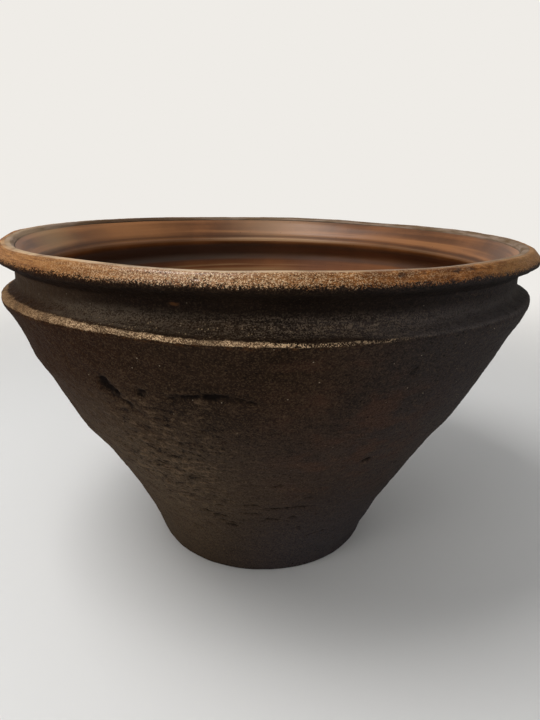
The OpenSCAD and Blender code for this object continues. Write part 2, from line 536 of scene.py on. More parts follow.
PATCHY, STREAKY = 0.8, 0.35
PAINTED_BOUNCE_FOOT, PAINTED_BOUNCE_LEFT = 0.1, 0.5
ASHY_BACK, ASHY_CLOUDS = 0.2, 0.5
LEAST_QUARTZ = 0.3
GRAIN_HEIGHT, HOLE_DEPTH = 0.5, 0.6
ROUGH, ROUGHER = 0.62, 0.25


def bare_clay(place):
    """Colour, roughness and relief of the bare clay: sooty brown, ribbed, sandy and unevenly fired, with
    painted light and shade.
    """
    across, height = axis(place, "X"), axis(place, "Z")
    patches = cloud(place, *PATCHES)
    sand = blended(SAND_SHARE, cell_shade(place, SAND), cloud(place, *SPECKLE))
    low = fall(height, *LOW_WALL)
    behind = rise(axis(place, "Y"), *BACK)
    smoke = cloud(place, *SMOKE)
    fired = rise(PATCHY * patches + STREAKY * cloud(place, *STREAKS), *FIRED)
    colour = mixed(fired, CLAY_DARK, CLAY_BROWN)
    colour = coated(colour, WARM, fall(across, *WARM_SIDE))
    colour = coated(colour, GREY, rise(across, *GREY_SIDE))
    # Painted bluish bounce light low on the wall, towards the right
    colour = coated(colour, PAINTED_BLUE_BOUNCE, low * rise(across, *BLUE_BOUNCE_SIDE))
    colour = coated(colour, DULL, fall(height, *DULL_TOP) * rise(across, *DULL_SIDE))
    flushed = rise(cloud(place, *FLUSHES), *RUST_STEP)
    flushed = flushed * rise(across, *RUST_LEFT) * fall(across, *RUST_RIGHT)
    colour = coated(colour, RUST, flushed * rise(height, *RUST_FOOT) * fall(height, *RUST_TOP))
    # Dust in a patch on the dragged wall, and painted bounce light low on the wall, most at the left, both
    # in the ash colour
    dust_and_painted_light = near(place, *DUSTY_SPOT) * rise(cloud(place, *DUST_PATCHES), *DUST_STEP)
    dust_and_painted_light = dust_and_painted_light + low * (PAINTED_BOUNCE_FOOT + PAINTED_BOUNCE_LEFT * fall(across, *PAINTED_BOUNCE_SIDE))
    colour = mixed(dust_and_painted_light, colour, CLAY_ASH)
    colour = mixed(behind * (ASHY_BACK + ASHY_CLOUDS * rise(smoke, *ASHY_STEP)), colour, CLAY_ASH)
    colour = coated(colour, SMOKED, behind * fall(smoke, *SMOKED_STEP))
    ripples = kept(place, "ripples")
    # Painted light on the ripples' crests and painted shade in their dips, as a raking light would give them
    colour = coated(colour, RIPPLE_PAINTED_LIGHT, rise(ripples, *TOPS_STEP))
    colour = coated(colour, RIPPLE_PAINTED_SHADE, fall(ripples, *DIPS_STEP))
    colour = coated(colour, PALE_SAND, rise(sand, *PALE_STEP))
    colour = coated(colour, DARK_SAND, fall(sand, *DARK_STEP))
    holes = grains(place, *HOLES)
    colour = coated(colour, SOOTED_HOLES, holes)
    quartz = grains(place, *QUARTZ) * at_least(LEAST_QUARTZ, rise(height, *QUARTZ_FOOT))
    colour = coated(colour, QUARTZ_PALE, quartz)
    # Painted shade in the pressed marks, darker the deeper they go
    colour = coated(colour, MARK_PAINTED_SHADE, rise(kept(place, "hollow"), *MARK_STEP))
    relief = GRAIN_HEIGHT * (sand + cloud(place, *CRUMBLE) + cloud(place, *RIBBING)) - HOLE_DEPTH * holes
    return colour, ROUGH + ROUGHER * patches, relief


def clay_finish(name, piece):
    """Bare clay over a whole piece."""
    material, place = new_finish(name)
    colour, roughness, relief = bare_clay(place)
    apply_finish(piece, material, colour, roughness, relief, CLAY_RELIEF, CLAY_SHINE)


def fire(piece):
    """Hold a finished piece in the frame, in the place of its CAD node."""
    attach(piece, "root")
    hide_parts(piece.name.removeprefix("fired_"))


dish_top = joint_under("foot_wall")
dish = turn("fired_floor_dish", np.vstack([
    below(outside, dish_top),
    tongue(dish_top),
    below(inside, dish_top)[::-1],
]), closed=False)
weather(dish)
clay_finish("dish_clay", dish)
fire(dish)

# Wall rings
# Four rings of clay, each scored, slipped and pinched onto the one below, then scraped with a rib.
# The coarse clay dragged and tore where it was too dry, and a finger gouged the wall before firing.
WALL_MARKS = [
    (-30, 227.5, 11, 12.5, 3.0, -56),  # finger gouge, wide at its top
    (-28.9, 223, 18, 10, 3.0, -56),
    (-26.8, 214, 24, 6.5, 1.9, -50),  # scratch that runs on from the gouge
    (-13.5, 226, 29, 5, 2.2, 10),  # crack just below the shoulder's joint, in three stretches
    (-8, 228.5, 24, 5.2, 2.6, 2),
    (-3.5, 226.5, 26, 4, 1.9, -13),
    (-22, 226, 9, 7, 2.4, 30),  # torn spots in the dragged clay
    (-17.5, 178, 11, 5, 1.4, 4),
    (-31.5, 171, 5, 3.4, 1.5, 0),
    (-28, 120, 4, 3, 1.3, 0),
    (-7.5, 186, 4, 2.8, 1.2, 0),
    (-11.5, 196, 9, 2.6, 1.0, -6),
    (-22, 179, 8, 3, 1.1, 6),
    (-21, 161, 10, 3, 1.1, -4),
    (-28, 146, 7, 3, 1.1, 8),
    (-19.5, 85, 14, 4.2, 1.8, -14),  # tears round the foot
    (-14.5, 81, 15, 4.6, 2.0, -4),
    (-11, 68, 13, 4.2, 1.9, -8),
    (-12, 73, 22, 3.4, 1.3, -10),
    (-2.5, 88, 20, 3.6, 1.4, 0),
    (3.5, 79, 18, 4.2, 1.8, 6),
    (8.5, 97, 46, 3.8, 1.6, 3),
    (-13, 98.5, 8, 3.8, 1.5, -8),
    (-3, 102, 16, 3.4, 1.3, 0),
    (11.5, 81, 11, 4, 1.5, 4),
    (14, 63, 9, 3.6, 1.4, -4),
    (-26.5, 55, 13, 3.6, 1.2, -25),
    (-23, 104, 15, 3.6, 1.3, -10),
    (14, 111, 9, 3.6, 1.3, 6),
    (4.5, 132, 11, 3.4, 1.3, 0),
    (23.5, 49, 24, 3.6, 1.4, 12),
    (26, 154, 9, 5.4, 2.2, 12),  # pits at the right
    (21, 166, 6, 3.4, 1.3, 0),
    (26, 244, 11, 5, 1.5, 62),
    (34, 209, 4, 3.2, 1.2, 0),
    (56, 115, 12, 7, 2.2, 0),
]
PITS = 150
PIT_LIMITS = [(-180, 180), (14, 264), (2, 8), (1.6, 3.0), (0.4, 1.3), (-12, 12)]
draws = np.random.default_rng(5)


def scattered(count, limits):
    """Marks at random, each number of a mark between its two limits."""
    return list(zip(*[draws.uniform(low, high, count) for low, high in limits]))


WALL_MARKS += scattered(PITS, PIT_LIMITS)


def between(outline, low, high):
    """Stretch of an outline between two heights, with a point at each of them."""
    stretch = below(outline, high)
    return np.vstack([[[radius_at(outline, low), low]], stretch[stretch[:, 1] > low + JOINT_GAP]])


def ring(node, next_node):
    """A clay ring in the place of a node, up to the joint under the next one."""
    low, high = joint_under(node), joint_under(next_node)
    piece = turn("fired_" + node, np.vstack([
        between(outside, low, high),
        tongue(high),
        between(inside, low, high)[::-1],
        tongue(low)[::-1],
    ]))
    weather(piece, WALL_MARKS)
    return piece


WALL = ["foot_wall", "lower_wall", "middle_wall", "upper_wall", "shoulder"]
for node, next_node in zip(WALL, WALL[1:]):
    wall_ring = ring(node, next_node)
    clay_finish(node + "_clay", wall_ring)
    fire(wall_ring)

# Shoulder
# The last ring of the wall, bent over a keel to a ledge for the collar. Handling has rubbed the keel's edge
# down to pale clay, more at the left than at the right, and the ledge is dusty, with painted light and
# glints.
LEDGE_DUST_AND_LIGHT = paint("786a5a")
SOOT_AND_SHADE = 0.62
SOOT_AND_SHADE_PATCHES, SOOT_AND_SHADE_STEP = ((60, 60, 20), 3.0), (0.1, 0.4)
SOOT_AND_SHADE_FOOT = (278, 287)
PALER_LEFT_SIDE, PALER_RIGHT_SIDE = (-190, -90), (60, 180)
PALER_LEFT, PALER_RIGHT = 0.95, 0.8
COLLAR_PAINTED_LIGHT = (CLAY_ASH, 0.4)
COLLAR_LIGHT_SIDE, COLLAR_LIGHT_BAND = (-190, -80), (285, 295, 9)
FLAKED = (paint("5f3d22"), 0.5)
FLAKE_SPOT, FLAKE_BAND = (-14, 295, 8), (294.6, 295.4, 2)
FLAKE_EDGE, FLAKE_FRAY, FLAKE_STEP = ((3, 3, 1.5), 3.0, 0.7), 1.1, (-0.2, 0.4)
LEDGE_FOOT, LEDGE_TOP = (274, 276), (280, 294)
LEDGE_LOWER, LEDGE_RIGHT = 3.5, (40, 130)  # mm that the dust starts lower at the right
DUST_SAND, DUST_SAND_SHARE = 0.8, 0.3
DUST_STREAKS, DUST_FINE = ((16, 16, 2.6), 5.0, 0.7), (0.32, 0.62)
LEAST_DUST, LEAST_DUST_COLD = 0.12, 0.3
LEDGE_LIGHT_ROUND, LEDGE_LIGHT_LEFT, LEDGE_LIGHT_SPOT = 0.08, 0.54, (-27, 283, 90)
LEDGE_GREY_DUST_AND_LIGHT, LEDGE_GREY_SPOT = (paint("666060"), 0.4), (32, 283, 170)
SCRATCHES_AND_HIGHLIGHTS, SCRATCH_SPOT = (paint("95806a"), 0.5), (6, 280, 150)
SCRATCHES, SCRATCH_SAND, SCRATCH_STEP = ((9, 9, 0.9), 5.0, 0.75), 0.3, (0.62, 0.84)
KEEL_PAINTED_GLINT, KEEL_GLINT_SPOT = (paint("c2a57c"), 0.8), (-10, 279, 130)
KEEL_GLINT_GRAINS, KEEL_GLINT_FOOT, KEEL_GLINT_TOP = (2.0, 0.3, 0.6), (273, 275), (278, 284)


def band(value, low, high, edge):
    """1 between low and high, with soft edges outside them."""
    return rise(value, low - edge, low) * fall(value, high, high + edge)


def soiled(place, colour, height):
    """Soot and painted shade in the groove over the keel, and dust, scratches, painted light and painted
    glints on the ledge below it.
    """
    across = axis(place, "X")
    # Soot and painted shade in the groove under the rim's overhang, less of it at the left and the right
    soot_and_shade_mask = SOOT_AND_SHADE * rise(height, *SOOT_AND_SHADE_FOOT) * rise(cloud(place, *SOOT_AND_SHADE_PATCHES), *SOOT_AND_SHADE_STEP)
    soot_and_shade_mask = soot_and_shade_mask * (1 - PALER_LEFT * fall(across, *PALER_LEFT_SIDE))
    soot_and_shade_mask = soot_and_shade_mask * (1 - PALER_RIGHT * rise(across, *PALER_RIGHT_SIDE))
    colour = mixed(soot_and_shade_mask, colour, SOOT)
    # Painted light on the collar at the left of the groove
    colour = coated(colour, COLLAR_PAINTED_LIGHT, fall(across, *COLLAR_LIGHT_SIDE) * band(height, *COLLAR_LIGHT_BAND))
    flaked = near(place, *FLAKE_SPOT) * band(height, *FLAKE_BAND) - FLAKE_FRAY * cloud(place, *FLAKE_EDGE)
    colour = coated(colour, FLAKED, rise(flaked, *FLAKE_STEP))
    # Dust on the ledge with painted light where it faces up, most at the front left, and greyer to the right
    ledge = rise(height + LEDGE_LOWER * rise(across, *LEDGE_RIGHT), *LEDGE_FOOT) * fall(height, *LEDGE_TOP)
    sand = cell_shade(place, DUST_SAND)
    fine = rise(blended(DUST_SAND_SHARE, sand, cloud(place, *DUST_STREAKS)), *DUST_FINE)
    dust_and_painted_light = LEDGE_LIGHT_ROUND + LEDGE_LIGHT_LEFT * near(place, *LEDGE_LIGHT_SPOT)
    colour = mixed(ledge * at_least(LEAST_DUST, fine) * dust_and_painted_light, colour, LEDGE_DUST_AND_LIGHT)
    dust_and_painted_light = ledge * at_least(LEAST_DUST_COLD, fine) * near(place, *LEDGE_GREY_SPOT)
    colour = coated(colour, LEDGE_GREY_DUST_AND_LIGHT, dust_and_painted_light)
    # Pale scratches on the ledge, partly painted grazing highlights
    lit_scratches = rise(cloud(place, *SCRATCHES) + SCRATCH_SAND * sand, *SCRATCH_STEP)
    colour = coated(colour, SCRATCHES_AND_HIGHLIGHTS, ledge * lit_scratches * near(place, *SCRATCH_SPOT))
    # Painted glints on grains just above the keel's edge, at the front
    glint_grains = grains(place, *KEEL_GLINT_GRAINS) * near(place, *KEEL_GLINT_SPOT)
    return coated(colour, KEEL_PAINTED_GLINT, rise(height, *KEEL_GLINT_FOOT) * fall(height, *KEEL_GLINT_TOP) * glint_grains)


KEEL_RUBBED = paint("7d5f43")
KEEL_GRAIN = paint("e2c198")
KEEL_TAN, TAN_SIDE = (paint("785b3e"), 0.85), (-190, -90)
KEEL_RUST, RUSTY_SIDE = (paint("5f3a1c"), 0.5), (20, 90)
RUSTY_BAND = (268.7, 270.1, 0.9)
RUSTY_SPOTS, RUSTY_STEP = ((6, 6, 2), 4.0, 0.7), (0.5, 0.66)
RUBBED_FOOT, RUBBED_TOP = (270.1, 270.9), (273.3, 274.2)
THIN_SIDE = (-20, 40)  # where the rubbed line gets thin, and by how much its top comes down
THIN_TOP = 1.0
WIDE_SIDE, WIDE_TOP = (-150, -105), 1.2
NOISE_MIDDLE = 0.5
FRAY, FRAYED, FRAYED_LESS = (4, 4.0, 0.7), 2.6, 1.7  # noise, its height in mm, and less where thin
WANDER, WANDERS = (30, 2.0), 2.0
LINE_END, LINE_END_NOISE, LINE_END_VARIES = (60, 170), 12, 90
GAPS, GAP_STEP, LEAST_RUBBED = (20, 2.0), (0.35, 0.55), 0.5
CRUMB_SAND, CRUMB_SHARE = 0.65, 0.6
CRUMBS, CRUMB_STEP = ((7, 7, 1.6), 3.0), (0.2, 0.8)
SPARSE_STEP = (0.52, 0.95)
RUBBED_LEAST, RUBBED_CRUMBS = 0.52, 0.46

shoulder = ring("shoulder", "collar")
material, place = new_finish("shoulder_clay")
colour, roughness, relief = bare_clay(place)
across = axis(place, "X")
height = kept(place, "turned_height")
colour = soiled(place, colour, height)
thin = rise(across, *THIN_SIDE)
level = height + (FRAYED - FRAYED_LESS * thin) * (cloud(place, *FRAY) - NOISE_MIDDLE)
level = level + WANDERS * (cloud(place, *WANDER) - NOISE_MIDDLE)
top = level + THIN_TOP * thin - WIDE_TOP * fall(across, *WIDE_SIDE)
rubbed = rise(level, *RUBBED_FOOT) * fall(top, *RUBBED_TOP)
rubbed = rubbed * fall(across + LINE_END_VARIES * cloud(place, LINE_END_NOISE), *LINE_END)
rubbed = rubbed * at_least(LEAST_RUBBED, rise(cloud(place, *GAPS), *GAP_STEP))
crumbs = blended(CRUMB_SHARE, cell_shade(place, CRUMB_SAND), cloud(place, *CRUMBS))
crumbs = rise(crumbs, *CRUMB_STEP)
sparse = rise(crumbs + 1 - thin, *SPARSE_STEP)
rusty = band(level, *RUSTY_BAND) * rise(cloud(place, *RUSTY_SPOTS), *RUSTY_STEP)
colour = coated(colour, KEEL_RUST, rusty * fall(across, *RUSTY_SIDE))
worn_clay = mixed(crumbs * crumbs, KEEL_RUBBED, KEEL_GRAIN)
worn_clay = coated(worn_clay, KEEL_TAN, fall(across, *TAN_SIDE))
colour = mixed(rubbed * sparse * (RUBBED_LEAST + RUBBED_CRUMBS * crumbs), colour, worn_clay)
apply_finish(shoulder, material, colour, roughness, relief, CLAY_RELIEF, CLAY_SHINE)
fire(shoulder)

# Collar
# An upright ring of the same clay, luted onto the shoulder's ledge in the corner of the groove.
# Soot, grime and painted shade under the rim have turned it nearly black.
RUBBED_RELIEF = 0.5  # mm

collar = ring("collar", "rim")
material, place = new_finish("collar_clay")
colour, roughness, relief = bare_clay(place)
colour = soiled(place, colour, kept(place, "turned_height"))
apply_finish(collar, material, colour, roughness, relief, RUBBED_RELIEF, CLAY_SHINE)
fire(collar)

# Rim
# A thick roll of clay with a bevelled top, luted onto the collar. Hands and cloths have rubbed the bevel
# to bare ochre clay, and soot stays in its pits; under its edge the dark is soot and painted shade, and its
# pale grains at the front are painted glints. Inside, a thin dark line runs just above where the glaze ends.
GLAZE_TOP = 314.0

# Chips in the bevel, each (azimuth, height, length, width, depth, slant), in degrees and mm
RIM_CHIPS = [
    (20, 316, 9, 3.4, 0.7, 5),
    (30, 316.5, 12, 3.4, 0.8, -6),
    (34, 311, 10, 3, 0.7, 8),
    (-24, 309, 8, 3, 0.6, 0),
]
CHIPS = 40
CHIP_LIMITS = [(-180, 180), (305, 317), (2, 9), (1.4, 3.2), (0.3, 0.8), (-20, 20)]
RIM_CHIPS += scattered(CHIPS, CHIP_LIMITS)

rim_foot = joint_under("rim")
rim_inside = rounded(INSIDE, SEEN_STEP)
rim = turn("fired_rim", np.vstack([
    [[radius_at(outside, rim_foot), rim_foot]],
    outside[outside[:, 1] > rim_foot + JOINT_GAP],
    rim_inside[rim_inside[:, 1] > rim_foot + JOINT_GAP][-2::-1],
    [[radius_at(inside, rim_foot), rim_foot]],
    tongue(rim_foot)[::-1],
]))
keep_on_points(rim, "reach", points_of(rim)[1])
weather(rim, RIM_CHIPS)

# The bevel's colours, by the smears and streaks of the rubbed clay and from left to right
BEVEL_OCHRE = paint("7c5029")
BEVEL_PALE = paint("9e6f42")
BEVEL_RED = paint("5a3318")
BEVEL_ORANGE = paint("99602f")
RIM_UNDERSIDE_SHADE = (305, 311)
SMEARS, SMEAR_STEP = ((26, 26, 1.6), 4.0, 0.6), (0.35, 0.7)
RED_STREAKS, RED_STEP = ((16, 16, 3), 5.0, 0.68), (0.38, 0.64)
STREAKED, STREAKED_VARIES, STREAKED_SIDE = 0.9, 60, (20, 120)
BEVEL_TAN, BEVEL_TAN_SIDE = (paint("90683d"), 0.75), (130, 190)
BEVEL_LIGHT = (paint("b08050"), 0.7)
LINES, DARK_LINES, LIGHT_LINES = ((18, 18, 0.9), 4.0, 0.65), (0.5, 0.6), (0.34, 0.46)
LINED, UNLINED_FRONT, UNLINED_RIGHT = 0.6, 0.5, 0.4
UNLINED_SPOT, UNLINED_SIDE = (-14, 314, 120), (120, 190)

# The grit in it, most at the front and in patches at the back, its pale grains painted glints
BEVEL_PAINTED_GLINT, GLINT_STEP = (paint("e6c9a0"), 0.75), (0.55, 0.92)
GRIT, GRIT_AND_GLINT_SPOT = 0.6, (-6, 314, 155)
GRIT_RIGHT, GRIT_RIGHT_BAND = 0.15, (60, 120, 50)
GRIT_BEHIND, GRIT_BACK = 0.7, (-40, 90)
GRIT_PATCHES, GRIT_STEP = (90, 2.0), (0.42, 0.6)
LEAST_GRIT = 0.15
PITTED_STEP, PITTED_LOWER, PITTED_TOP = (0.02, 0.15), 0.12, (310, 315)
BLOTCHED = (BEVEL_RED, 0.75)
BLOTCHES, BLOTCH_STEP = ((10, 10, 3), 5.0, 0.7), (0.48, 0.6)
BLOTCH_SIDE, FEWER_SIDE, FEWER = (0, 90), (140, 200), 0.7

# Where it is rubbed: on the outer side of the lip, from a frayed edge up, and less in the chips
BEVEL_SIDE, BEVEL_SHIFT, BEVEL_RISE = (235.5, 237.5), 7, (306, 316)
WORN_STEP = (313.6, 315.4)
WORN_SAND, WORN_SAND_HEIGHT = 0.8, 3.4
WORN_FRAY, WORN_FRAY_HEIGHT = 5, 2
WORN_WANDER, WORN_WANDER_HEIGHT = (16, 2.0), 2.5
CHIP_STEP, CHIP_SOOT = (0.2, 0.7), 0.7

# The lip and its inner side, down to a thin dark line over the glaze
LIP_BROWN = paint("6a543d")
LIP_GREY = paint("937f6e")
LIP_PATCHES, LIP_STEP = ((30, 30, 3), 3.0), (0.3, 0.7)
LIP_PAINTED_SHADE, LIP_SHADE_SPOT = (paint("4a3524"), 0.85), (-132, 318, 190)
LIP_GREY_TAN, LIP_GREY_TAN_SPOT = (paint("9a8268"), 0.9), (-86, 318, 70)
EDGE_LINE_DARK, EDGE_LINE_LESS_LEFT, EDGE_LINE_LESS_RIGHT = 0.8, 0.7, 0.5
EDGE_LINE_LESS_SPOT, EDGE_LINE_LESS_SIDE = (-95, 318, 150), (100, 200)
EDGE_LINE_TOP, EDGE_LINE_VARIES = (GLAZE_TOP + 1.2, GLAZE_TOP + 2.0), 1.2
LIP_WEAR_AND_HIGHLIGHT, LIP_PALE_STEP = (paint("c8ab87"), 0.75), (0.25, 0.6)
LIP_BAND, LIP_FLAT, LIP_FRONT = (240, 246.4, 0.8), (316.4, 317.4), (-190, -30)
LIP_DULLER, LIP_DULL_SIDE = 0.8, (0, 120)
POLISHED, POLISHED_FRONT, POLISHED_SPOT = 0.04, 0.7, (-10, 315, 105)
GRIT_HEIGHT, RUBBED_SMOOTHER = 0.3, 0.1

material, place = new_finish("rim_clay")
colour, roughness, relief = bare_clay(place)
across, behind = axis(place, "X"), axis(place, "Y")
height, reach = kept(place, "turned_height"), kept(place, "reach")
# Soot and painted shade on the rim's lower edge and underside
colour = mixed(SOOT_AND_SHADE * fall(height, *RIM_UNDERSIDE_SHADE), colour, SOOT)
outer_side = rise(reach - BEVEL_SHIFT * rise(height, *BEVEL_RISE), *BEVEL_SIDE)

smears = cloud(place, *SMEARS)
ochre = mixed(rise(smears, *SMEAR_STEP), BEVEL_OCHRE, BEVEL_PALE)
streaked = mixed(rise(cloud(place, *RED_STREAKS), *RED_STEP), BEVEL_RED, BEVEL_ORANGE)
ochre = mixed(STREAKED * rise(across + STREAKED_VARIES * smears, *STREAKED_SIDE), ochre, streaked)
ochre = coated(ochre, BEVEL_TAN, rise(across, *BEVEL_TAN_SIDE))
lines = cloud(place, *LINES)
lined = LINED - UNLINED_FRONT * near(place, *UNLINED_SPOT) - UNLINED_RIGHT * rise(across, *UNLINED_SIDE)
ochre = mixed(lined * rise(lines, *DARK_LINES), ochre, BEVEL_RED)
ochre = coated(ochre, BEVEL_LIGHT, lined * fall(lines, *LIGHT_LINES))

sand = cell_shade(place, GRIT)
grit_and_glints = near(place, *GRIT_AND_GLINT_SPOT) + GRIT_RIGHT * band(across, *GRIT_RIGHT_BAND)
grit_and_glints = grit_and_glints + GRIT_BEHIND * rise(behind, *GRIT_BACK) * rise(cloud(place, *GRIT_PATCHES), *GRIT_STEP)
grit_and_glints = at_least(LEAST_GRIT, grit_and_glints)
pitted = grit_and_glints * fall(sand - PITTED_LOWER * fall(height, *PITTED_TOP), *PITTED_STEP)
ochre = mixed(pitted, ochre, CLAY_DARK)
# Painted glints on the grit's grains
ochre = coated(ochre, BEVEL_PAINTED_GLINT, grit_and_glints * rise(sand, *GLINT_STEP))
blotches = rise(cloud(place, *BLOTCHES), *BLOTCH_STEP) * rise(across, *BLOTCH_SIDE)
ochre = coated(ochre, BLOTCHED, blotches * (1 - FEWER * rise(across, *FEWER_SIDE)))

frayed = height + WORN_SAND_HEIGHT * cell_shade(place, WORN_SAND)
frayed = frayed + WORN_FRAY_HEIGHT * cloud(place, WORN_FRAY)
worn = rise(frayed + WORN_WANDER_HEIGHT * cloud(place, *WORN_WANDER), *WORN_STEP)
worn = worn * (1 - CHIP_SOOT * rise(kept(place, "hollow"), *CHIP_STEP))
colour = mixed(outer_side * worn, colour, ochre)

bead = mixed(rise(cloud(place, *LIP_PATCHES), *LIP_STEP), LIP_BROWN, LIP_GREY)
# Painted shade on the lip towards the back left, and a paler grey-tan at the left
bead = coated(bead, LIP_PAINTED_SHADE, near(place, *LIP_SHADE_SPOT))
bead = coated(bead, LIP_GREY_TAN, near(place, *LIP_GREY_TAN_SPOT))
# A thin dark line just above the glaze's edge, less of it at the left and the right
edge_line = EDGE_LINE_DARK - EDGE_LINE_LESS_LEFT * near(place, *EDGE_LINE_LESS_SPOT) - EDGE_LINE_LESS_RIGHT * rise(across, *EDGE_LINE_LESS_SIDE)
bead = mixed(edge_line * fall(height + EDGE_LINE_VARIES * smears, *EDGE_LINE_TOP), bead, SOOT)
colour = mixed(1 - outer_side, colour, bead)
# Wear and a painted highlight on the lip's flat top at the front
worn_and_lit = band(reach, *LIP_BAND) * rise(height, *LIP_FLAT) * fall(behind, *LIP_FRONT)
worn_and_lit = worn_and_lit * (1 - LIP_DULLER * rise(across, *LIP_DULL_SIDE))
colour = coated(colour, LIP_WEAR_AND_HIGHLIGHT, worn_and_lit * rise(smears, *LIP_PALE_STEP))

polish = POLISHED + POLISHED_FRONT * near(place, *POLISHED_SPOT)
polish = worn * outer_side * (1 - pitted) * polish
roughness = roughness - RUBBED_SMOOTHER * worn
relief = relief + GRIT_HEIGHT * grit_and_glints * sand
apply_finish(rim, material, colour, roughness, relief, RUBBED_RELIEF, CLAY_SHINE, polish)
fire(rim)

# Glaze lining
# A thin coat of brown glaze, poured in and swirled round, over the rings that the potter's fingers left.
# It thins out to a soft edge just below the lip.
GLAZE = 0.8  # mm thick
GLAZE_STEP = 1.7
EDGE_GAP = 1  # closest that a point comes to the glaze's edge, in mm
EDGE_THINS = 4  # mm below the edge over which it gets thin
EDGE_THINNER = 0.8

lining = below(rounded(INSIDE, GLAZE_STEP), GLAZE_TOP, EDGE_GAP)
coat = GLAZE * (1 - EDGE_THINNER * smooth(lining[:, 1], GLAZE_TOP - EDGE_THINS, GLAZE_TOP))
front = lining - coat[:, None] * square_to(lining, lining[:, 1])
front[0] = (0, INSIDE[0][1] + GLAZE)
backing = below(inside, GLAZE_TOP, EDGE_GAP)
glaze = turn("fired_glaze_lining", np.vstack([front, backing[::-1]]), closed=False)

FLOOR_TOP = 40  # mm, above all of the floor
SWIRL, SWIRL_HEIGHT = 17, 0.5  # mm from one turn of the swirl to the next, and its height
SWIRL_START, SWIRL_END = (4, 22), (78, 96)
RING, RING_HEIGHT = 9, 0.26  # mm from one ring to the next, and its height
RING_VARIES = [(0.5, (170, 170, 22))]
RING_WANDERS = [(3, 110), (8, (600, 600, 40))]
RINGS_FOOT, RINGS_TOP = (30, 60), (255, 268)
GROOVE, GROOVE_WIDE, GROOVE_DEEP = 294, 1.2, 0.5  # height of a line under the lip, half-width and depth

points, radius, height, azimuth = points_of(glaze)
on_top = height > INSIDE[0][1] + GLAZE / 2
facing = np.where(height < FLOOR_TOP, on_top, radius < radius_at(inside, height) - GLAZE / 4)
swirl = SWIRL_HEIGHT * np.sin(math.tau * (radius / SWIRL - azimuth / FULL_TURN))
swirl *= smooth(radius, *SWIRL_START) * (1 - smooth(radius, *SWIRL_END))
swirl *= facing * (height < FLOOR_TOP)
points[:, 2] += swirl
glaze.data.vertices.foreach_set("co", (points * MM).ravel())
strength = RING_HEIGHT + layered(points, RING_VARIES)
rings = strength * np.sin(math.tau * (height + layered(points, RING_WANDERS)) / RING)
rings *= smooth(height, *RINGS_FOOT) * (1 - smooth(height, *RINGS_TOP))
groove = GROOVE_DEEP * np.exp(-((height - GROOVE) / GROOVE_WIDE) ** 2)
keep_on_points(glaze, "turned_height", height)
keep_on_points(glaze, "rings", rings + swirl)
settle(glaze, facing * (rings + groove))

GLAZE_SHINE = 0.12
GLAZE_RELIEF = 0.5  # mm
GLAZE_HONEY = paint("80512c")
GLAZE_TAN = paint("a06c3f")
GLAZE_DARK = paint("45270f")
GLAZE_PAINTED_HIGHLIGHT = paint("c39c74")
GLAZE_GREY_TAN = paint("987850")
RUNS = ((260, 260, 6.5), 3.0, 0.5)
MOTTLES = (70, 4.0)
HONEY_STEP, HONEY_RUNS, LEAST_HONEY = (0.38, 0.62), 0.5, 0.25
CROWN_FOOT = (284, 292)
TAN_RUNS, TAN_STEP = (GLAZE_TAN, 0.45), (0.5, 0.66)
TAN_LEFT, TAN_SPOT = (GLAZE_TAN, 0.6), (-128, 303, 130)
PAINTED_REFLECTION_BACK, PAINTED_REFLECTION_SPOT = (GLAZE_PAINTED_HIGHLIGHT, 0.35), (176, 306, 110)
REDDER, RED_TOP = (paint("6e3c1c"), 0.6), (240, 285)
SILTED, SILT_STEP = (GLAZE_GREY_TAN, 0.5), (0.48, 0.62)
SILT_BAND, SILT_SIDE = (225, 262, 20), (0, 90)
DARK_RINGS, DARK_RING_STEP = (GLAZE_DARK, 0.4), (0.05, 0.5)
PALE_RINGS, PALE_RING_STEP = (GLAZE_TAN, 0.25), (-0.5, -0.05)
SCALED, FLOOR_RISE = (paint("8d7355"), 0.4), (19, 26)
SCALE, SCALE_STEP = (26, 5.0, 0.65), (0.45, 0.65)
DARK_CORNER, CORNER_BAND, CORNER_STEP = (GLAZE_DARK, 0.5), (19.5, 34, 8), (0.35, 0.6)
PINHOLED, PINHOLES = (GLAZE_DARK, 0.5), (7, 0.3, 1.0)
RECESS_PAINTED_SHADE, RECESS_BAND = paint("544840"), (265, 282, 4)
RECESS_SHADE, RECESS_SHADE_LESS_RIGHT, RECESS_SIDE = 0.9, 0.55, (-140, 120)
CROWN_BAND, CROWN_VARIES = (289.4, 291.8, 1.2), 1.5
CROWN_HIGHLIGHT_ALL, CROWN_HIGHLIGHT_BACK, CROWN_HIGHLIGHT_SPOT = 0.15, 0.65, (178, 290, 150)
FAR_LEFT_GREY_TAN, FAR_LEFT_FOOT, FAR_LEFT_SPOT = (GLAZE_GREY_TAN, 0.8), (292, 300), (-96, 306, 70)
LINE_PAINTED_SHADE, LINE_SHADE_BAND = (GLAZE_DARK, 0.5), (293.2, 294.8, 0.8)
GLOSS, GLOSS_ABOVE, GLOSS_BACK, GLOSS_CROWN = 0.12, 0.15, 0.35, 0.3
GLOSS_SPOT, GLOSS_FOOT = (178, 300, 170), (284, 289)
SATIN, SATIN_VARIES = 0.4, 0.3

material, place = new_finish("brown_glaze")
height, across = kept(place, "turned_height"), axis(place, "X")
runs = cloud(place, *RUNS)
mottles = cloud(place, *MOTTLES)
rings = kept(place, "rings")
honey = rise(blended(HONEY_RUNS, runs, mottles), *HONEY_STEP)
colour = mixed(at_least(LEAST_HONEY, honey), GLAZE_DARK, GLAZE_HONEY)
above = rise(height, *CROWN_FOOT)
colour = coated(colour, TAN_RUNS, above * rise(runs, *TAN_STEP))
colour = coated(colour, TAN_LEFT, above * near(place, *TAN_SPOT))
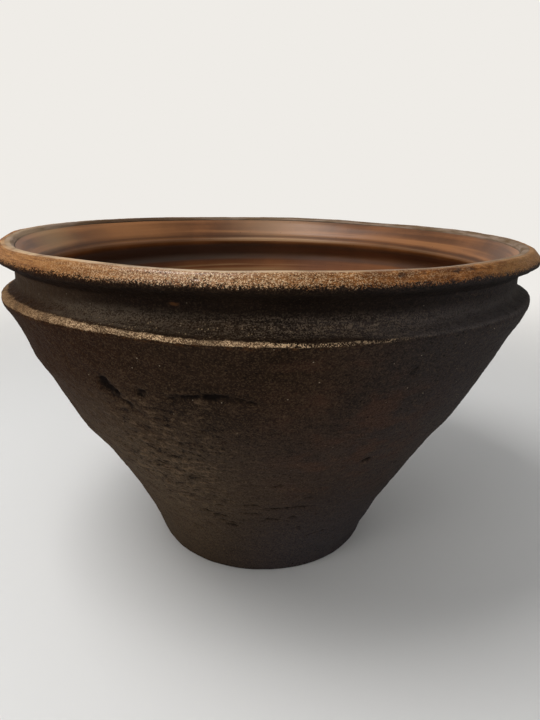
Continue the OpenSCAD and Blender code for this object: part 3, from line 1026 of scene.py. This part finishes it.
# Painted reflection on the band above the crown at the back
colour = coated(colour, PAINTED_REFLECTION_BACK, above * near(place, *PAINTED_REFLECTION_SPOT))
colour = coated(colour, REDDER, fall(height, *RED_TOP))
silt = band(height, *SILT_BAND) * fall(across, *SILT_SIDE)
colour = coated(colour, SILTED, silt * rise(runs, *SILT_STEP))
colour = coated(colour, DARK_RINGS, rise(rings, *DARK_RING_STEP))
colour = coated(colour, PALE_RINGS, fall(rings, *PALE_RING_STEP))
colour = coated(colour, SCALED, fall(height, *FLOOR_RISE) * rise(cloud(place, *SCALE), *SCALE_STEP))
colour = coated(colour, DARK_CORNER, band(height, *CORNER_BAND) * rise(mottles, *CORNER_STEP))
colour = coated(colour, PINHOLED, grains(place, *PINHOLES))
# Painted shade in the recess under the crown, less of it at the right
shade_in_recess = RECESS_SHADE - RECESS_SHADE_LESS_RIGHT * rise(across, *RECESS_SIDE)
colour = mixed(band(height, *RECESS_BAND) * shade_in_recess, colour, RECESS_PAINTED_SHADE)
# Painted highlight along the crown, brightest at the back
crown = band(height + CROWN_VARIES * runs, *CROWN_BAND)
colour = mixed((CROWN_HIGHLIGHT_ALL + CROWN_HIGHLIGHT_BACK * near(place, *CROWN_HIGHLIGHT_SPOT)) * crown, colour, GLAZE_PAINTED_HIGHLIGHT)
# Paler grey-tan at the far left, below the lip
colour = coated(colour, FAR_LEFT_GREY_TAN, rise(height, *FAR_LEFT_FOOT) * near(place, *FAR_LEFT_SPOT))
# Painted shade in the groove under the lip
colour = coated(colour, LINE_PAINTED_SHADE, band(height, *LINE_SHADE_BAND))
gloss = (GLOSS_ABOVE + GLOSS_BACK * near(place, *GLOSS_SPOT)) * rise(height, *GLOSS_FOOT)
gloss = GLOSS + gloss + GLOSS_CROWN * crown
apply_finish(glaze, material, colour, SATIN + SATIN_VARIES * mottles, runs, GLAZE_RELIEF, GLAZE_SHINE, gloss)
fire(glaze)

# Floor and light
# A pale round studio floor that curves up into its wall, so that it closes the view from every side.
# One wide soft lamp hangs above to the left, and a weak one fills from the left front.
FLOOR_PALE = (0.8, 0.79, 0.77, 1)
FLOOR_ROUGHNESS = 0.8
BACKDROP = paint("efece7")
FLOOR_MIDDLE, FLOOR_RADIUS, COVE, WALL_TOP = 600, 1900, 500, 1900  # mm
COVE_POINTS, FLOOR_FACETS = 13, 128
PLAIN = (450, 1700)  # mm from the middle over which the floor fades to the plain backdrop

bend = np.linspace(0, math.pi / 2, COVE_POINTS)
cove = [(FLOOR_RADIUS + COVE * math.sin(a), COVE - COVE * math.cos(a)) for a in bend]
studio = [(0, 0), (FLOOR_MIDDLE, 0), *cove, (FLOOR_RADIUS + COVE, WALL_TOP)]
stage = turn("studio_floor", studio, closed=False, most_facets=FLOOR_FACETS)
bpy.ops.object.shade_smooth()
material, place = new_finish("studio_floor")
tree = material.node_tree
shader = tree.nodes["Principled BSDF"]
shader.inputs["Base Color"].default_value = FLOOR_PALE
shader.inputs["Roughness"].default_value = FLOOR_ROUGHNESS
from_middle = place.add("VectorMath", {"operation": "LENGTH"}, {0: place}, out="Value")
seen = place.add("LightPath", {}, {}, out="Is Camera Ray")
for bounce in ("Is Glossy Ray", "Is Transmission Ray"):
    seen = seen + place.add("LightPath", {}, {}, out=bounce)
plain = rise(from_middle, *PLAIN) * seen
bright = place.add("Emission", {}, {"Color": BACKDROP, "Strength": 1.0})
look = place.add("MixShader", {}, {0: plain, 1: Shade(shader.outputs[0]), 2: bright})
tree.links.new(look.socket, tree.nodes["Material Output"].inputs["Surface"])
stage.data.materials.append(material)

# Lamps, each (name, place and target in metres, width in metres, power in watts)
LAMPS = [
    ("ceiling_lamp", (-0.55, -0.25, 1.5), (0, 0, 0.2), 0.7, 14),
    ("side_fill", (-1.25, -1.2, 0.7), (0, 0, 0.15), 0.9, 6),
]
SKY, SKY_STRENGTH = (0.95, 0.97, 1, 1), 0.45

for name, spot, target, width, power in LAMPS:
    bpy.ops.object.light_add(type="AREA", location=spot)
    lamp = bpy.context.object
    lamp.name = name
    lamp.data.size = width
    lamp.data.energy = power
    lamp.rotation_euler = (Vector(target) - Vector(spot)).to_track_quat("-Z", "Y").to_euler()
world = bpy.data.worlds.new("studio")
bpy.context.scene.world = world
world.use_nodes = True
sky = world.node_tree.nodes["Background"]
sky.inputs["Color"].default_value = SKY
sky.inputs["Strength"].default_value = SKY_STRENGTH

# Camera
# The photograph was taken from close in front of the basin and just above its rim, looking down into it
# through a wide lens.
CAMERA_PLACE = (0.0072, -0.5812, 0.3674)
LOOKS_DOWN = 17.54
ROLL = 0.61
UPRIGHT = 90  # degrees from looking straight down to looking level
LENS, SENSOR = 28, 36
NEAREST = 0.01  # metres

bpy.ops.object.camera_add(location=CAMERA_PLACE)
camera = bpy.context.object
tilt = Matrix.Rotation(math.radians(UPRIGHT - LOOKS_DOWN), 3, "X")
camera.rotation_euler = (tilt @ Matrix.Rotation(math.radians(ROLL), 3, "Z")).to_euler()
camera.data.lens = LENS
camera.data.sensor_width = SENSOR
camera.data.clip_start = NEAREST
bpy.context.scene.camera = camera
bpy.context.scene.view_settings.view_transform = "Standard"
